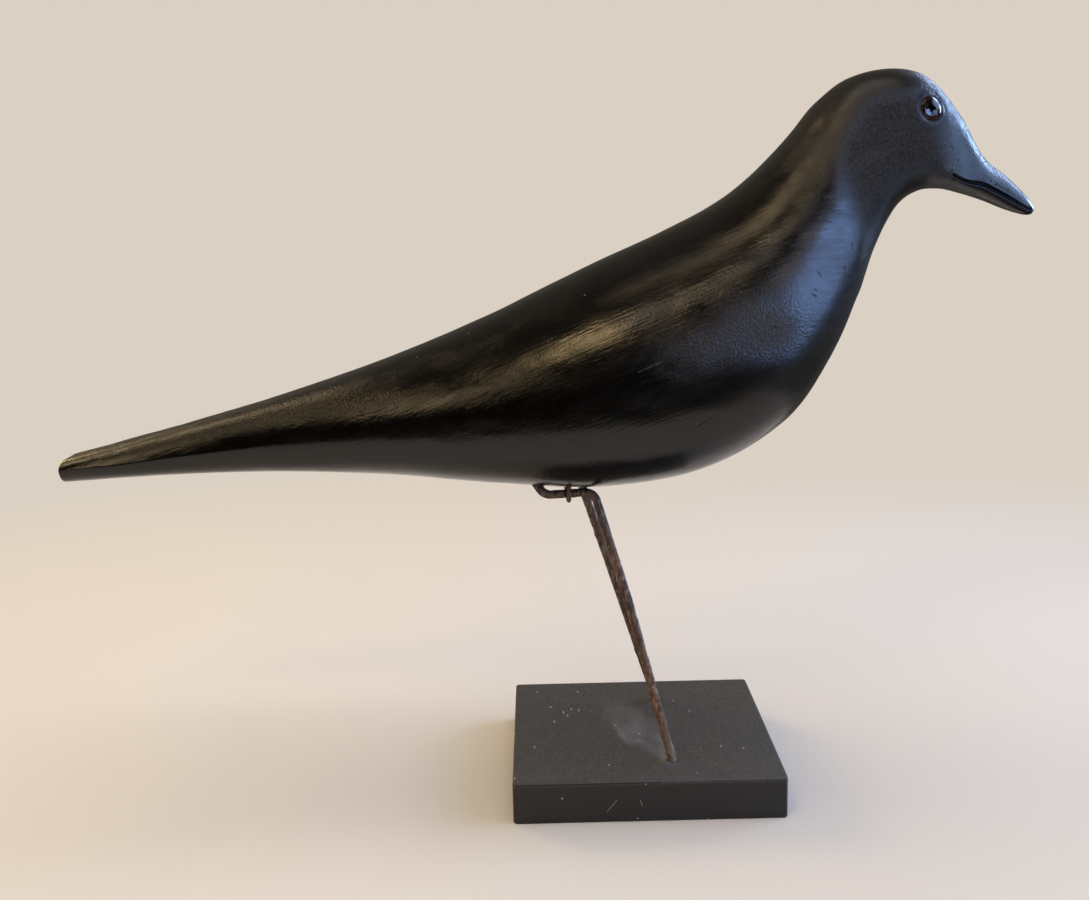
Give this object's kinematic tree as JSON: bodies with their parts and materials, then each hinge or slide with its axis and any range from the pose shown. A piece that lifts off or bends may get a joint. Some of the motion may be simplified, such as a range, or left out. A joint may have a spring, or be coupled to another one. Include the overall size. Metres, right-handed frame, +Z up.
{
  "type": "crow decoy",
  "caption": "Carved and painted wooden crow decoy with glass eyes, standing on bent iron wire legs stapled to its belly and set in a square black plinth.",
  "frame": {"origin": "centre of the plinth's underside", "axes": "+X from the tail towards the bill, +Z up, +Y towards the bird's left side"},
  "size_m": [0.416, 0.1142, 0.3048],
  "materials": {
    "painted_body": "satin black paint, brushed lengthwise over carved wood",
    "eye_glass": "polished dark brown glass",
    "leg_iron": "dark rusted iron wire",
    "staple_iron": "dull dark iron wire",
    "painted_plinth": "matt black paint, lightly dusty and scuffed"
  },
  "bodies": {
    "root": {"carved_body": "painted_body", "right_glass_eye": "eye_glass", "left_glass_eye": "eye_glass", "right_leg_wire": "leg_iron", "left_leg_wire": "leg_iron", "right_staple": "staple_iron", "left_staple": "staple_iron", "plinth": "painted_plinth"}
  },
  "joints": []
}
